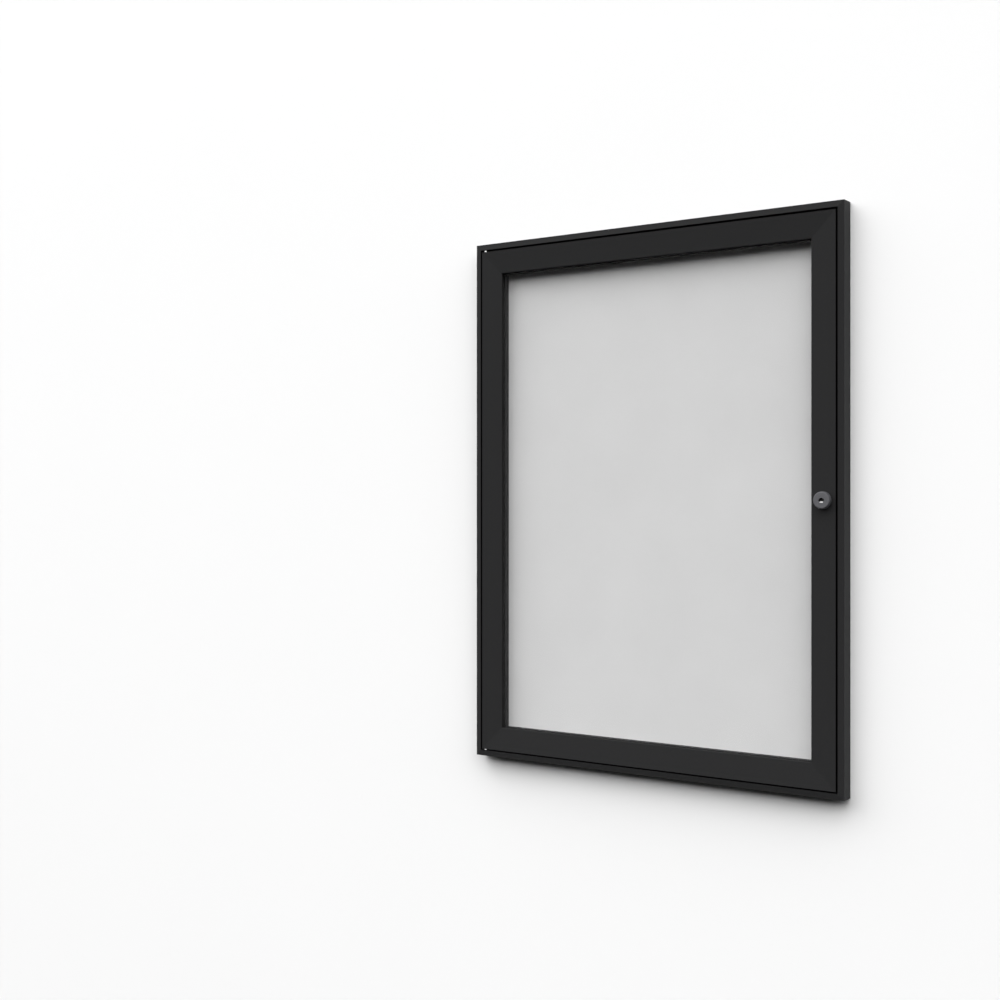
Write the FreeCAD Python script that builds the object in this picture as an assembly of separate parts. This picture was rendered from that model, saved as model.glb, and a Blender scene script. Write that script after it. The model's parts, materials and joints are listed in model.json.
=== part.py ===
import FreeCAD, Part
import collections
import math
import os

# Lockable notice board that hangs on a wall. Millimetres.
# X runs to the right as seen from the front, Y runs into the wall, Z runs up.
# The origin is the middle of the back face, on the wall, so the board lies at negative Y.

# Casing: four hollow members, each with a rim round the door and a ledge behind it
board_width = 510.0
board_height = 680.0
casing_depth = 20.5  # from the wall to the crest along the rim's inner edge
rim_width = 7.5
rim_fall = 1.2  # how far the rim's front slopes back from the crest to its outer edge
ledge_level = 10.2  # from the wall to the ledge's front face
member_wall = 1.4
edge_radius = 0.2

# Panel: a stiff board with a steel sheet on its front, let into the back of the ledge
board_thickness = 1.5
sheet_thickness = 0.6
panel_recess = 0.1  # from the wall to the board's back
panel_cover = 12.1  # how far the ledge covers the panel's edge
panel_play = 0.3  # between the panel's edge and the casing

# Door: four hollow members with a groove for the window
door_gap_side = 2.1
door_gap_top = 2.4
door_gap_bottom = 1.6
door_thickness = 8.0  # from the crest along the door's outer edge to its back
stile_width = 30.2
ledge_step = 0.3  # how far the ledge shows past the door's inner edge
face_fall = 2.5  # how far the door's front slopes back from the crest to the window
front_lip = 0.8
rear_lip = 1.2
window_edge_radius = 0.75  # of the front edge round the window

# Window and its gasket
glazing_thickness = 1.5
glazing_cover = 6.0  # how far the lips cover the window's edge
gasket_web = 0.8
gasket_play = 0.2  # between the gasket's web and the bottom of the groove
gasket_proud = 0.3  # how far the gasket shows past the front lip

# Door seal on the ledge
seal_width = 4.0
seal_height = 2.0
seal_from_window = 1.4  # from the ledge's inner edge to the seal
seal_radius = 0.9

# Corner cleats and their screws
cleat_play = 0.1
casing_cleat_leg = 45.0
door_cleat_leg = 45.0
door_cleat_width = 12.0
casing_screw_from_corner = 30.0
door_screw_from_corner = 34.0

# Countersunk screws
screw_diameter = 3.0
screw_head_diameter = 5.5
screw_socket = 2.0
screw_socket_depth = 1.0
screw_play = 0.05
casing_screw_length = 12.0
door_screw_length = 4.6
panel_screw_length = 5.2
panel_screw_pitch = 150.0  # the widest that two panel screws stand apart
panel_screw_from_corner = 60.0  # from the casing's corner to the first panel screw

# Pivot pins and their bushes
pin_diameter = 3.0
pin_inset = 13.28  # from the casing's outer edge to the pins' axis
pin_behind_crest = 4.0
pin_in_casing = 5.3  # length held in the rim and its cleat
pin_in_door = 7.0
pin_play = 0.05
pin_collar_diameter = 4.6  # of the collar that fills the gap at the door's edge
pin_collar_play = 0.3  # from the collar to the rim and to the door
bush_wall = 0.95
bush_end = 0.8  # thickness of the bush's closed end

# Lock
lock_head_diameter = 20.0
lock_head_height = 7.2  # from the middle of the stile's face to the lock's front
lock_head_radius = 1.6
lock_height = 0.0  # of the lock's axis above the board's middle
barrel_diameter = 14.0
barrel_flats = 12.8
barrel_play = 0.1
plug_diameter = 11.5
plug_play = 0.05
stem_diameter = 8.0
stem_square = 6.0
housing_end = 1.6  # thickness of the housing's rear wall
keyhole_radius = 3.7  # of the half-moon that the key goes into
keyhole_floor = 0.9  # from the lock's axis down to the half-moon's flat side
keyhole_depth = 8.0
ramp_width = 4.8
ramp_height = 2.2  # of the slope that leads the key's tip into the hole, as high as it is deep
nut_flats = 17.0
nut_thickness = 2.0

# Cam and the slot that it goes through
cam_thickness = 1.5
cam_width = 8.0
cam_hub_diameter = 13.0
cam_reach = 16.0
cam_play = 0.3  # between the cam and the ledge's front wall behind which it locks
cam_hole_play = 0.05
cam_washer_diameter = 9.0
cam_washer_thickness = 0.5
cam_screw_diameter = 3.0
cam_screw_length = 6.0
cam_screw_head_diameter = 6.0
cam_screw_head_height = 1.4
slot_play = 1.8  # round the barrel and the cam

# Wall fixings: a hole in the back wall, and one in the ledge's front for the screw's head
fixing_inset = 17.0
fixing_from_corner = 75.0
fixing_hole_diameter = 5.5
fixing_access_diameter = 11.0

# Worked out from the sizes above
crest = -casing_depth
rim_edge = -(casing_depth - rim_fall)
ledge_front = -ledge_level
ledge_inset = stile_width + ledge_step  # of the ledge's inner edge from the door's outer edge
panel_front = -(panel_recess + board_thickness + sheet_thickness)
panel_inset = ledge_inset - panel_cover  # of the panel's edge from the door's outer edge
door_back = crest + door_thickness
window_edge = crest + face_fall
groove_front = window_edge + front_lip
groove_back = door_back - rear_lip
gasket_wing = (groove_back - groove_front - glazing_thickness) / 2
glazing_front = groove_front + gasket_wing
glazing_inset = stile_width - glazing_cover
groove_bottom = glazing_inset - gasket_web - gasket_play
face_slope = face_fall / stile_width
pin_level = crest + pin_behind_crest
bush_diameter = pin_diameter + 2 * pin_play + 2 * bush_wall
lock_inset = rim_width + door_gap_side + stile_width / 2
lock_face = crest + face_fall / 2 - lock_head_height
cam_front = ledge_front + member_wall + cam_play
barrel_end = cam_front - plug_play

Rect = collections.namedtuple("Rect", "left right bottom top")
casing = Rect(-board_width / 2, board_width / 2, -board_height / 2, board_height / 2)
door = Rect(
    casing.left + rim_width + door_gap_side,
    casing.right - rim_width - door_gap_side,
    casing.bottom + rim_width + door_gap_bottom,
    casing.top - rim_width - door_gap_top,
)
pin_x = casing.left + pin_inset
lock_x = casing.right - lock_inset

V = FreeCAD.Vector
INTO_WALL = V(0, 1, 0)
UP = V(0, 0, 1)
SIDES = ("left", "right", "bottom", "top")
DOOR_GAPS = {"left": door_gap_side, "right": door_gap_side, "bottom": door_gap_bottom, "top": door_gap_top}
CORNERS = (("left", "top"), ("right", "top"), ("left", "bottom"), ("right", "bottom"))


def box(x, y, z):
    """Block between the two values that each of x, y and z gives."""
    low = V(min(x), min(y), min(z))
    return Part.makeBox(max(x) - low.x, max(y) - low.y, max(z) - low.z, low)


def rod(x, z, diameter, y):
    """Round bar along Y between the two values of y."""
    return Part.makeCylinder(diameter / 2, max(y) - min(y), V(x, min(y), z), INTO_WALL)


def rounded_wire(corners, place):
    """Closed outline through corners (a, b, radius), put in space by place(a, b)."""
    rounds = []
    for index, (a, b, radius) in enumerate(corners):
        here = V(a, b, 0)
        back = V(*corners[index - 1][:2], 0) - here
        ahead = V(*corners[(index + 1) % len(corners)][:2], 0) - here
        back.normalize()
        ahead.normalize()
        half_angle = back.getAngle(ahead) / 2
        setback = radius / math.tan(half_angle)
        bisector = back + ahead
        bisector.normalize()
        middle = here + bisector * (radius / math.sin(half_angle) - radius)
        rounds.append((here + back * setback, middle, here + ahead * setback))
    edges = []
    for index, (start, middle, end) in enumerate(rounds):
        if corners[index][2] > 0:
            arc = Part.Arc(place(start.x, start.y), place(middle.x, middle.y), place(end.x, end.y))
            edges.append(arc.toShape())
        following = rounds[(index + 1) % len(rounds)][0]
        edges.append(Part.makeLine(place(end.x, end.y), place(following.x, following.y)))
    return Part.Wire(edges)


def member(rect, side, section, reach):
    """One member of a rectangular frame, mitred at both ends.

    The section is an outline, then its hollows, in (inset from the outer edge, y, radius).
    The reach is the section's greatest inset.
    """
    width = rect.right - rect.left
    height = rect.top - rect.bottom
    places = {
        "left": (lambda inset, y: V(rect.left + inset, y, rect.bottom), V(0, 0, height)),
        "right": (lambda inset, y: V(rect.right - inset, y, rect.bottom), V(0, 0, height)),
        "bottom": (lambda inset, y: V(rect.left, y, rect.bottom + inset), V(width, 0, 0)),
        "top": (lambda inset, y: V(rect.left, y, rect.top - inset), V(width, 0, 0)),
    }
    place, run = places[side]
    bar, *hollows = [Part.Face(rounded_wire(ring, place)).extrude(run) for ring in section]
    for hollow in hollows:
        bar = bar.cut(hollow)
    return bar.common(mitre_block(rect, side, reach))


def mitre_block(rect, side, reach):
    """Prism that keeps one side of a frame between its two mitres."""
    outer = {
        "left": ("left bottom", "left top"),
        "right": ("right bottom", "right top"),
        "bottom": ("left bottom", "right bottom"),
        "top": ("left top", "right top"),
    }
    points = [corner_point(rect, *name.split(), 0) for name in outer[side]]
    points += [corner_point(rect, *name.split(), reach) for name in reversed(outer[side])]
    ends = [V(x, crest - 1, z) for x, z in points]
    return Part.Face(Part.makePolygon(ends + ends[:1])).extrude(INTO_WALL * (casing_depth + 2))


def corner_point(rect, across, along, inset):
    """The x and z of a frame's corner, moved in by the inset on both sides."""
    x = rect.left + inset if across == "left" else rect.right - inset
    z = rect.bottom + inset if along == "bottom" else rect.top - inset
    return x, z


def ring(rect, outline, reach):
    """Closed frame of one section, as one solid."""
    members = [member(rect, side, [outline], reach) for side in SIDES]
    return members[0].fuse(members[1:]).removeSplitter()


def single(shape):
    """The one solid of a shape."""
    if len(shape.Solids) != 1:
        raise ValueError("a piece fell into %d solids" % len(shape.Solids))
    return shape.Solids[0]


def mirrored_pairs(rect, along, inset):
    """Points on both legs of every corner: so far along each leg, and so far in from its side."""
    points = []
    for across, up in CORNERS:
        near_x, near_z = corner_point(rect, across, up, inset)
        far_x, far_z = corner_point(rect, across, up, along)
        points += [(near_x, far_z), (far_x, near_z)]
    return points


def screw(x, z, head_level, length, play=0.0):
    """Countersunk screw pointing away from the wall, its flat head at the given level.

    With play it is the hole that such a screw needs, with no socket.
    """
    head = screw_head_diameter / 2 + play
    shank = screw_diameter / 2 + play
    cone = Part.makeCone(head, shank, head - shank, V(x, head_level, z), -INTO_WALL)
    body = cone.fuse(rod(x, z, 2 * shank, (head_level - length - play, head_level))).removeSplitter()
    if play:
        return body
    return body.cut(hexagon(x, z, screw_socket, (head_level - screw_socket_depth, head_level + 1)))


def hexagon(x, z, flats, y):
    """Six-sided bar along Y, with the given size across its flats, two of them upright."""
    radius = flats / math.sqrt(3)
    points = []
    for step in range(7):
        angle = math.radians(60 * step + 30)
        points.append(V(x + radius * math.cos(angle), min(y), z + radius * math.sin(angle)))
    return Part.Face(Part.makePolygon(points)).extrude(INTO_WALL * (max(y) - min(y)))


def flatted_bar(diameter, flats, y):
    """Round bar along the lock's axis with two upright flats."""
    slab = box((lock_x - flats / 2, lock_x + flats / 2), y, (lock_height - diameter, lock_height + diameter))
    return rod(lock_x, lock_height, diameter, y).common(slab)


# Sections


def face_level(inset):
    """Y of the door's sloping front at an inset from the door's edge."""
    return crest + face_slope * inset


def ledge_reach(gap):
    """Inset of the ledge's inner edge from the casing's outer edge, on a side with this gap at the door."""
    return rim_width + gap + ledge_inset


def casing_section(gap):
    """Rim tube and ledge tube in one extrusion, with a step behind the ledge for the panel."""
    rim_slope = rim_fall / rim_width
    reach = ledge_reach(gap)
    panel_edge = rim_width + gap + panel_inset - panel_play
    outline = [
        (0, 0, 0),
        (0, rim_edge, edge_radius),
        (rim_width, crest, edge_radius),
        (rim_width, ledge_front, 0),
        (reach, ledge_front, edge_radius),
        (reach, panel_front, 0),
        (panel_edge, panel_front, 0),
        (panel_edge, 0, 0),
    ]
    rim_hollow = [
        (member_wall, -member_wall, 0),
        (member_wall, rim_edge - rim_slope * member_wall + member_wall, 0),
        (rim_width - member_wall, crest + rim_slope * member_wall + member_wall, 0),
        (rim_width - member_wall, -member_wall, 0),
    ]
    ledge_hollow = [
        (rim_width, -member_wall, 0),
        (rim_width, ledge_front + member_wall, 0),
        (reach - member_wall, ledge_front + member_wall, 0),
        (reach - member_wall, panel_front - member_wall, 0),
        (panel_edge - member_wall, panel_front - member_wall, 0),
        (panel_edge - member_wall, -member_wall, 0),
    ]
    return [outline, rim_hollow, ledge_hollow]


def casing_cleat_section():
    """Fills the rim tube, a play short of its walls."""
    rim_slope = rim_fall / rim_width
    outer = member_wall + cleat_play
    inner = rim_width - member_wall - cleat_play
    return [
        (outer, -outer, 0),
        (outer, rim_edge - rim_slope * outer + outer, 0),
        (inner, rim_edge - rim_slope * inner + outer, 0),
        (inner, -outer, 0),
    ]


def door_section():
    """Hollow bar with a sloping front and a groove for the window."""
    outline = [
        (0, door_back, edge_radius),
        (0, crest, edge_radius),
        (stile_width, window_edge, window_edge_radius),
        (stile_width, groove_front, 0),
        (groove_bottom, groove_front, 0),
        (groove_bottom, groove_back, 0),
        (stile_width, groove_back, 0),
        (stile_width, door_back, edge_radius),
    ]
    inner_wall = groove_bottom - member_wall
    hollow = [
        (member_wall, door_back - member_wall, 0),
        (member_wall, face_level(member_wall) + member_wall, 0),
        (inner_wall, face_level(inner_wall) + member_wall, 0),
        (inner_wall, door_back - member_wall, 0),
    ]
    return [outline, hollow]


def door_cleat_section():
    """Lies in the outer part of the door's hollow, a play short of its walls."""
    outer = member_wall + cleat_play
    inner = outer + door_cleat_width
    return [
        (outer, door_back - outer, 0),
        (outer, face_level(outer) + outer, 0),
        (inner, face_level(inner) + outer, 0),
        (inner, door_back - outer, 0),
    ]


def gasket_section():
    """Channel round the window's edge."""
    web = glazing_inset - gasket_web
    tip = stile_width + gasket_proud
    return [
        (web, groove_front, 0),
        (tip, groove_front, gasket_proud),
        (tip, glazing_front, 0),
        (glazing_inset, glazing_front, 0),
        (glazing_inset, glazing_front + glazing_thickness, 0),
        (tip, glazing_front + glazing_thickness, 0),
        (tip, groove_back, gasket_proud),
        (web, groove_back, 0),
    ]


def seal_section():
    """Rounded strip glued to the ledge."""
    inner = ledge_inset - seal_from_window
    outer = inner - seal_width
    return [
        (outer, ledge_front, 0),
        (outer, ledge_front - seal_height, seal_radius),
        (inner, ledge_front - seal_height, seal_radius),
        (inner, ledge_front, 0),
    ]


# Hinge


def pin_bar(diameter, edge, outwards, length_out, length_in):
    """Upright bar on the hinge axis, from outside a door's edge (top or bottom) to inside it."""
    low = edge - length_in if outwards > 0 else edge - length_out
    return Part.makeCylinder(diameter / 2, length_out + length_in, V(pin_x, pin_level, low), UP)


def hinge_ends():
    """For the top and the bottom: the door's edge, the way outwards and the gap to the rim."""
    return {"top": (door.top, 1, door_gap_top), "bottom": (door.bottom, -1, door_gap_bottom)}


def hinge_pin(end):
    """Steel pin from the casing's cleat, across the gap, into the door's bush, with a collar in the gap."""
    edge, outwards, gap = hinge_ends()[end]
    bar = pin_bar(pin_diameter, edge, outwards, gap + pin_in_casing, pin_in_door)
    collar_start = edge + outwards * pin_collar_play
    collar = pin_bar(pin_collar_diameter, collar_start, outwards, gap - 2 * pin_collar_play, 0)
    return single(bar.fuse(collar).removeSplitter())


def pin_hole(end):
    """Hole for the pin in the rim and the cleat."""
    edge, outwards, gap = hinge_ends()[end]
    return pin_bar(pin_diameter + 2 * pin_play, edge, outwards, gap + pin_in_casing + pin_play, 0)


def bush_bar(end):
    """The space that a bush fills."""
    edge, outwards, _ = hinge_ends()[end]
    return pin_bar(bush_diameter, edge, outwards, 0, pin_in_door + pin_play + bush_end)


def hinge_bush(end):
    """Plastic cup pressed into the door, with a closed end for the pin's tip to bear on."""
    edge, outwards, _ = hinge_ends()[end]
    bore = pin_bar(pin_diameter + 2 * pin_play, edge, outwards, 1, pin_in_door + pin_play)
    return bush_bar(end).cut(bore)


# Casing pieces


def keeper_slot():
    """Opening in the ledge's front wall: room for the barrel, and for the cam when it points down."""
    depth = (ledge_front - 1, ledge_front + member_wall + cam_play)
    round_part = rod(lock_x, lock_height, barrel_diameter + 2 * slot_play, depth)
    half = cam_width / 2 + slot_play
    upright = box((lock_x - half, lock_x + half), depth, (lock_height - cam_reach - slot_play, lock_height))
    return round_part.fuse(upright)


def fixing_points():
    """The four wall fixings, in the stiles."""
    points = []
    for across, up in CORNERS:
        x, _ = corner_point(casing, across, up, fixing_inset)
        _, z = corner_point(casing, across, up, fixing_from_corner)
        points.append((x, z))
    return points


def fixing_holes():
    """Stepped holes: clearance at the wall, access through the ledge's front."""
    holes = []
    for x, z in fixing_points():
        holes.append(rod(x, z, fixing_hole_diameter, (-member_wall - 1, 1)))
        holes.append(rod(x, z, fixing_access_diameter, (ledge_front - 1, ledge_front + member_wall + 1)))
    return holes


def casing_screw_points():
    return mirrored_pairs(casing, casing_screw_from_corner, rim_width / 2)


def spread(low, high):
    """Evenly spaced places from low to high, no further apart than the panel screws' pitch."""
    steps = max(1, math.ceil((high - low) / panel_screw_pitch))
    return [low + (high - low) * step / steps for step in range(steps + 1)]


def panel_screw_points():
    """Along the middle of the strip where the ledge covers the panel."""
    inset = panel_inset + panel_cover / 2
    left, bottom = corner_point(door, "left", "bottom", inset)
    right, top = corner_point(door, "right", "top", inset)
    first_x, first_z = corner_point(casing, "left", "bottom", panel_screw_from_corner)
    last_x, last_z = corner_point(casing, "right", "top", panel_screw_from_corner)
    points = [(x, z) for z in spread(first_z, last_z) for x in (left, right)]
    points += [(x, z) for x in spread(first_x, last_x) for z in (bottom, top)]
    return points


def panel_screws(play=0.0):
    return [screw(x, z, -panel_recess, panel_screw_length, play) for x, z in panel_screw_points()]


def casing_screws(play=0.0):
    return [screw(x, z, 0, casing_screw_length, play) for x, z in casing_screw_points()]


def casing_members():
    """The four casing members with every hole that passes through them."""
    holes = panel_screws(screw_play) + casing_screws(screw_play) + fixing_holes()
    holes += [keeper_slot(), pin_hole("top"), pin_hole("bottom")]
    names = {
        "left": "casing_hinge_stile",
        "right": "casing_lock_stile",
        "bottom": "casing_bottom_rail",
        "top": "casing_top_rail",
    }
    return {
        names[side]: single(member(casing, side, casing_section(gap), ledge_reach(gap)).cut(holes))
        for side, gap in DOOR_GAPS.items()
    }


def cleats(rect, name, outline, reach, leg, holes):
    """The L-shaped key in each corner of a frame."""
    whole = ring(rect, outline, reach)
    pieces = {}
    for across, up in CORNERS:
        x, z = corner_point(rect, across, up, 0)
        far_x, far_z = corner_point(rect, across, up, leg)
        block = box((x, far_x), (crest - 1, 1), (z, far_z))
        pieces["%s_%s_%s" % (name, up, across)] = single(whole.common(block).cut(holes))
    return pieces


def casing_cleats():
    holes = casing_screws(screw_play) + [pin_hole("top"), pin_hole("bottom")]
    return cleats(casing, "casing_cleat", casing_cleat_section(), rim_width, casing_cleat_leg, holes)


def panel_layer(back, front):
    """One layer of the panel, with the screws' holes."""
    left, bottom = corner_point(door, "left", "bottom", panel_inset)
    right, top = corner_point(door, "right", "top", panel_inset)
    return single(box((left, right), (back, front), (bottom, top)).cut(panel_screws(screw_play)))


# Door pieces


def door_screws(play=0.0):
    points = mirrored_pairs(door, door_screw_from_corner, member_wall + cleat_play + door_cleat_width / 2)
    return [screw(x, z, door_back, door_screw_length, play) for x, z in points]


def door_members():
    """The four door members with the holes for the screws, the bushes and the lock."""
    lock_hole = flatted_bar(
        barrel_diameter + 2 * barrel_play, barrel_flats + 2 * barrel_play, (crest - 1, door_back + 1)
    )
    holes = door_screws(screw_play) + [lock_hole, bush_bar("top"), bush_bar("bottom")]
    names = {
        "left": "door_hinge_stile",
        "right": "door_lock_stile",
        "bottom": "door_bottom_rail",
        "top": "door_top_rail",
    }
    section = door_section()
    return {names[side]: single(member(door, side, section, stile_width).cut(holes)) for side in SIDES}


def door_cleats():
    holes = door_screws(screw_play) + [bush_bar("top"), bush_bar("bottom")]
    return cleats(door, "door_cleat", door_cleat_section(), stile_width, door_cleat_leg, holes)


def glazing():
    left, bottom = corner_point(door, "left", "bottom", glazing_inset)
    right, top = corner_point(door, "right", "top", glazing_inset)
    return box((left, right), (glazing_front, glazing_front + glazing_thickness), (bottom, top))


# Lock pieces


def lock_housing():
    """Round head whose underside follows the stile's slope, and a flatted barrel with a closed end."""
    head = rod(lock_x, lock_height, lock_head_diameter, (lock_face, window_edge))
    front_edges = [edge for edge in head.Edges if abs(edge.CenterOfMass.y - lock_face) < 0.01]
    head = head.makeFillet(lock_head_radius, front_edges)
    under_face = [
        (0, crest, 0),
        (stile_width, window_edge, 0),
        (stile_width, door_back, 0),
        (0, door_back, 0),
    ]
    stile = Part.Face(rounded_wire(under_face, lambda inset, y: V(door.right - inset, y, door.bottom)))
    head = head.cut(stile.extrude(UP * (door.top - door.bottom)))
    barrel = flatted_bar(barrel_diameter, barrel_flats, (crest, barrel_end))
    plug_bore = rod(lock_x, lock_height, plug_diameter + 2 * plug_play, (lock_face - 1, barrel_end - housing_end))
    stem_bore = rod(lock_x, lock_height, stem_diameter + 2 * plug_play, (lock_face, barrel_end + 1))
    return single(head.fuse(barrel).cut([plug_bore, stem_bore]).removeSplitter())


def lock_nut():
    hole = rod(lock_x, lock_height, barrel_diameter + 2 * barrel_play, (door_back - 1, ledge_front))
    return hexagon(lock_x, lock_height, nut_flats, (door_back, door_back + nut_thickness)).cut(hole)


def square_bar(size, y):
    """Square bar along the lock's axis."""
    half = size / 2
    return box((lock_x - half, lock_x + half), y, (lock_height - half, lock_height + half))


def keyhole():
    """Half-moon hole with its flat side down, and a slope below it that leads the key's tip in."""
    floor = lock_height - keyhole_floor
    round_hole = rod(lock_x, floor, 2 * keyhole_radius, (lock_face - 1, lock_face + keyhole_depth))
    upper_half = box(
        (lock_x - keyhole_radius, lock_x + keyhole_radius),
        (lock_face - 1, lock_face + keyhole_depth),
        (floor, floor + keyhole_radius),
    )
    left = lock_x - ramp_width / 2
    slope = [V(left, lock_face, floor), V(left, lock_face, floor - ramp_height), V(left, lock_face + ramp_height, floor)]
    ramp = Part.Face(Part.makePolygon(slope + slope[:1])).extrude(V(ramp_width, 0, 0))
    return round_hole.common(upper_half).fuse(ramp)


def lock_plug():
    """Turning part: round front with the keyhole, a stem, and a square end for the cam."""
    shoulder = barrel_end - housing_end - plug_play
    front = rod(lock_x, lock_height, plug_diameter, (lock_face, shoulder))
    stem = rod(lock_x, lock_height, stem_diameter, (shoulder, barrel_end + plug_play))
    square = square_bar(stem_square, (barrel_end, cam_front + cam_thickness - plug_play))
    thread = rod(lock_x, lock_height, cam_screw_diameter + 2 * cam_hole_play, (cam_screw_tip(), 0))
    return single(front.fuse([stem, square]).cut([keyhole(), thread]).removeSplitter())


def cam_screw_seat():
    """Y of the underside of the cam screw's head."""
    return cam_front + cam_thickness + cam_washer_thickness


def cam_screw_tip():
    return cam_screw_seat() - cam_screw_length - cam_hole_play


def lock_cam():
    """Flat arm that points down when unlocked and to the rim when locked."""
    depth = (cam_front, cam_front + cam_thickness)
    half = cam_width / 2
    hub = rod(lock_x, lock_height, cam_hub_diameter, depth)
    straight = cam_reach - half
    arm = box((lock_x - half, lock_x + half), depth, (lock_height - straight, lock_height))
    tip = rod(lock_x, lock_height - straight, cam_width, depth)
    hole = square_bar(stem_square + 2 * cam_hole_play, (depth[0] - 1, depth[1] + 1))
    return single(hub.fuse([arm, tip]).cut(hole).removeSplitter())


def cam_washer():
    depth = (cam_front + cam_thickness, cam_screw_seat())
    hole = rod(lock_x, lock_height, cam_screw_diameter + 2 * cam_hole_play, (depth[0] - 1, depth[1] + 1))
    return rod(lock_x, lock_height, cam_washer_diameter, depth).cut(hole)


def cam_screw():
    """Pan-headed screw in the plug's end."""
    seat = cam_screw_seat()
    head = rod(lock_x, lock_height, cam_screw_head_diameter, (seat, seat + cam_screw_head_height))
    shank = rod(lock_x, lock_height, cam_screw_diameter, (seat - cam_screw_length, seat))
    socket = hexagon(lock_x, lock_height, screw_socket, (seat + cam_screw_head_height - screw_socket_depth, 0))
    return single(head.fuse(shank).cut(socket).removeSplitter())


def build():
    """Every piece under its node's name."""
    pieces = {}
    pieces.update(casing_members())
    pieces.update(casing_cleats())
    pieces["casing_cleat_screws"] = Part.makeCompound(casing_screws())
    pieces["back_board"] = panel_layer(-panel_recess, -panel_recess - board_thickness)
    pieces["display_sheet"] = panel_layer(-panel_recess - board_thickness, panel_front)
    pieces["panel_screws"] = Part.makeCompound(panel_screws())
    pieces["door_seal"] = single(ring(door, seal_section(), ledge_inset))
    pieces["hinge_pin_top"] = hinge_pin("top")
    pieces["hinge_pin_bottom"] = hinge_pin("bottom")
    pieces.update(door_members())
    pieces.update(door_cleats())
    pieces["door_cleat_screws"] = Part.makeCompound(door_screws())
    pieces["glazing_sheet"] = glazing()
    pieces["glazing_gasket"] = single(ring(door, gasket_section(), stile_width + gasket_proud))
    pieces["hinge_bush_top"] = hinge_bush("top")
    pieces["hinge_bush_bottom"] = hinge_bush("bottom")
    pieces["lock_housing"] = lock_housing()
    pieces["lock_nut"] = lock_nut()
    pieces["lock_plug"] = lock_plug()
    pieces["lock_cam"] = lock_cam()
    pieces["cam_washer"] = cam_washer()
    pieces["cam_screw"] = cam_screw()
    return pieces


os.makedirs("parts", exist_ok=True)
for node, shape in build().items():
    shape.exportStep("parts/%s.step" % node)
    print("%-28s %2d solid(s) %12.1f mm3 valid %s" % (node, len(shape.Solids), shape.Volume, shape.isValid()))
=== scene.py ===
# %% [markdown]
# # A lockable notice board
#
# This is a slim showcase for a wall: a black casing, a glazed door that hangs on two pivot pins at its
# left, and a round lock in the door's right stile. Behind the window is a light grey steel sheet for
# notices held by magnets.
#
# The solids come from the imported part, in metres, each in its place: +X is right, +Y goes into the wall and
# +Z is up. Their edges and openings are right as they are, so most of the work here is finish and light.
# What is made anew are the pieces that are drawn finer than the solids: the screws, the soft seal and the
# pivot pins.

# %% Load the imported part
import json
import math
import bpy
import bmesh
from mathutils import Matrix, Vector


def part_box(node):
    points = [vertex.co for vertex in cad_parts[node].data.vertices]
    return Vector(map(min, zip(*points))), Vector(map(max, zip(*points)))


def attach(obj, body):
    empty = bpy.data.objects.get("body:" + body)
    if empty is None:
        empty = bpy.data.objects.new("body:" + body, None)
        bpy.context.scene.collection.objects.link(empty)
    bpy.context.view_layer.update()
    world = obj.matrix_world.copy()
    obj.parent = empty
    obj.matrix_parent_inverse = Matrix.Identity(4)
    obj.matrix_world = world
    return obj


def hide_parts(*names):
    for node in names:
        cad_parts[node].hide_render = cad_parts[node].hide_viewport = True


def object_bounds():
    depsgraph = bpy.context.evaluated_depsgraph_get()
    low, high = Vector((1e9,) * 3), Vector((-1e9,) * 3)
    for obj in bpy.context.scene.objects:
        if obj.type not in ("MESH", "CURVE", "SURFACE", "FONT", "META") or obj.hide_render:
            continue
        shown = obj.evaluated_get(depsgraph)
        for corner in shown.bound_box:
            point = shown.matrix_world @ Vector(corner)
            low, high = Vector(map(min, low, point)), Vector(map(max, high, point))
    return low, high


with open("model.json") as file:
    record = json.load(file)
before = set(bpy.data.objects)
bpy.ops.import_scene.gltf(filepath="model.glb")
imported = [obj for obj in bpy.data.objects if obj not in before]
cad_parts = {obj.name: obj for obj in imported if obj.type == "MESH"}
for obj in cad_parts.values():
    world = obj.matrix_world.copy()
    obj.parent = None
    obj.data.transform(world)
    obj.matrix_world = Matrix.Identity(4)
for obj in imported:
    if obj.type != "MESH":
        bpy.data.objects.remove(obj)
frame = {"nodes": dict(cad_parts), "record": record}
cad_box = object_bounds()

print("box", [[round(v, 4) for v in corner] for corner in cad_box])

# %% [markdown]
# ## The camera
#
# The picture was taken from the right, level with the middle of the board. A camera placed by eye would
# leave each edge a little off. The level edges of casing and door run to two vanishing points, and with
# those the lens, the turn and the place of the camera come out together. The lens is a plain 50 mm on a 36
# mm sensor, with no shift.

# %% Place the camera
CAMERA_PLACE = (0.82863, -1.53614, 0.00024)
CAMERA_TURN = math.radians(34.587)
QUARTER_TURN = math.radians(90)
LENS_MM = 50.186
SENSOR_MM = 36.0
NEAREST_VIEW = 0.01

camera_data = bpy.data.cameras.new("camera")
camera_data.lens = LENS_MM
camera_data.sensor_width = SENSOR_MM
camera_data.clip_start = NEAREST_VIEW
camera = bpy.data.objects.new("camera", camera_data)
camera.location = CAMERA_PLACE
camera.rotation_euler = (QUARTER_TURN, 0, CAMERA_TURN)
bpy.context.scene.collection.objects.link(camera)
bpy.context.scene.camera = camera
bpy.context.scene.view_settings.view_transform = "Standard"
print("camera", LENS_MM, "mm, turned", round(math.degrees(CAMERA_TURN), 2), "degrees")

# %% [markdown]
# ## A small kit for nodes
#
# Finishes, screws and sky are all made of nodes. They could be wired in Blender's editor, but then the file
# would not show how. Three helpers keep the wiring short: one adds a node with its settings and its inputs,
# where a plain value and a link are given the same way, one does a step of arithmetic, and one multiplies
# several terms.


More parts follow.
